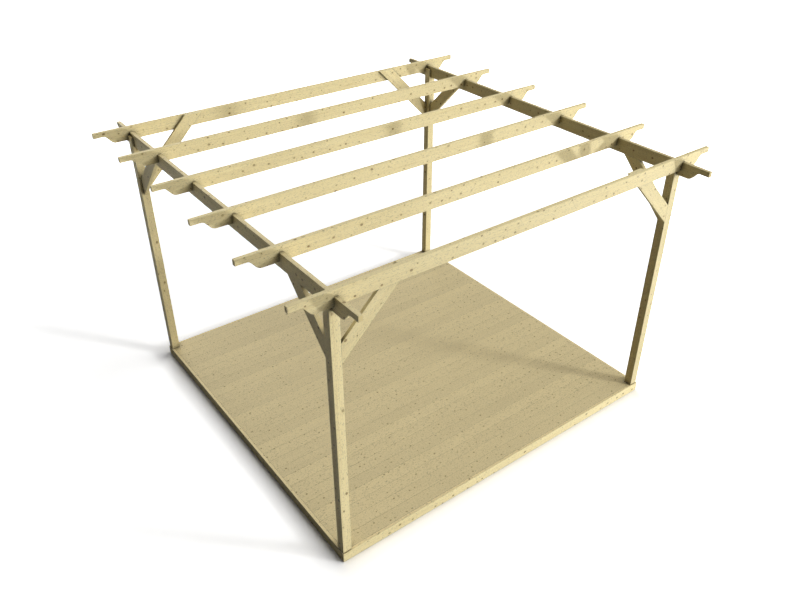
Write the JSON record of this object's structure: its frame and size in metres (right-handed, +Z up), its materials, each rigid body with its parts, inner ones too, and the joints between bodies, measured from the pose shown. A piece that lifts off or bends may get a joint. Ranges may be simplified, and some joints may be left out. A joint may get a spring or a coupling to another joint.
{
  "type": "wooden pergola",
  "caption": "Open timber pergola on a low, nearly square deck: corner posts, side beams, notched rafters with ogee ends and diagonal knee braces.",
  "frame": {"origin": "on the ground, under the middle of the deck, on the underside of the middle joist", "axes": "+Z up, +X to the right along the rafters, +Y to the back along the beams"},
  "size_m": [4.2, 4.1, 2.593],
  "materials": {
    "post_timber": "planed, dry softwood",
    "beam_timber": "planed, dry softwood",
    "rafter_timber": "planed, dry softwood",
    "brace_timber": "planed, dry softwood",
    "deck_boards": "planed, dry softwood boards",
    "deck_frame": "planed, dry softwood"
  },
  "bodies": {
    "root": {"post_front_left": "post_timber", "post_front_right": "post_timber", "post_back_left": "post_timber", "post_back_right": "post_timber", "beam_left": "beam_timber", "beam_right": "beam_timber", "rafter_1": "rafter_timber", "rafter_2": "rafter_timber", "rafter_3": "rafter_timber", "rafter_4": "rafter_timber", "rafter_5": "rafter_timber", "rafter_6": "rafter_timber", "brace_front_left_side": "brace_timber", "brace_front_right_side": "brace_timber", "brace_back_left_side": "brace_timber", "brace_back_right_side": "brace_timber", "brace_front_left_end": "brace_timber", "brace_front_right_end": "brace_timber", "brace_back_left_end": "brace_timber", "brace_back_right_end": "brace_timber", "deck_boards": "deck_boards", "deck_joists": "deck_frame", "edge_front": "deck_frame", "edge_back": "deck_frame", "edge_left": "deck_frame", "edge_right": "deck_frame"}
  },
  "joints": []
}
